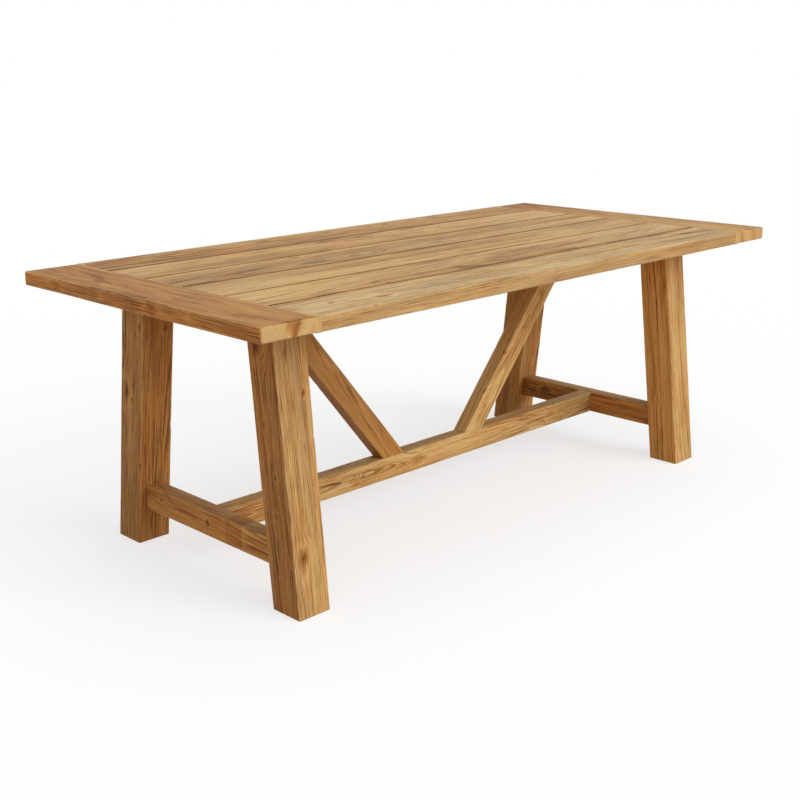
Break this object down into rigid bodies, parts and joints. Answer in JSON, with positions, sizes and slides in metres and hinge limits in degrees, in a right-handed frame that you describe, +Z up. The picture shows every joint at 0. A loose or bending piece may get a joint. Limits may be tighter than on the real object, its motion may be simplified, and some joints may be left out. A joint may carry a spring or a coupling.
{
  "type": "trestle dining table",
  "caption": "Trestle dining table in reclaimed teak: plank top with breadboard ends on splayed square legs, tied by low cross rails, a long stretcher and braces in a V.",
  "frame": {"origin": "on the floor under the middle of the table top", "axes": "+X along the table's length, +Y across it towards the back, +Z up"},
  "size_m": [2.1, 1, 0.77],
  "materials": {
    "top_teak": "sanded reclaimed teak, honey colour, dry oil finish",
    "breadboard_teak": "sanded reclaimed teak, orange brown, dry oil finish",
    "slip_teak": "pale teak sapwood, sanded",
    "hidden_teak": "planed teak, unfinished",
    "leg_teak": "sanded reclaimed teak with worn arrises",
    "rail_teak": "sanded reclaimed teak, finger jointed and patched",
    "stretcher_teak": "sanded reclaimed teak",
    "brace_teak": "sanded reclaimed teak",
    "peg_teak": "turned teak, end grain",
    "zinc_steel": "zinc plated"
  },
  "bodies": {
    "root": {"top_plank_1": "top_teak", "top_plank_2": "top_teak", "top_plank_3": "top_teak", "top_plank_4": "top_teak", "top_plank_5": "top_teak", "top_plank_6": "top_teak", "breadboard_left": "breadboard_teak", "breadboard_right": "breadboard_teak", "joint_slips": "slip_teak", "plank_spline_1": "hidden_teak", "plank_spline_2": "hidden_teak", "plank_spline_3": "hidden_teak", "plank_spline_4": "hidden_teak", "plank_spline_5": "hidden_teak", "top_batten_left": "hidden_teak", "top_batten_middle": "hidden_teak", "top_batten_right": "hidden_teak", "top_bearer_left": "hidden_teak", "top_bearer_right": "hidden_teak", "leg_left_front": "leg_teak", "leg_left_back": "leg_teak", "leg_right_front": "leg_teak", "leg_right_back": "leg_teak", "cross_rail_left": "rail_teak", "cross_rail_right": "rail_teak", "long_stretcher": "stretcher_teak", "brace_left": "brace_teak", "brace_right": "brace_teak", "breadboard_pegs": "peg_teak", "bearer_pegs": "peg_teak", "rail_pegs": "peg_teak", "bolt_plugs": "peg_teak", "batten_screws": "zinc_steel", "bearer_screws": "zinc_steel", "brace_screws": "zinc_steel", "stretcher_bolts": "zinc_steel"}
  },
  "joints": []
}
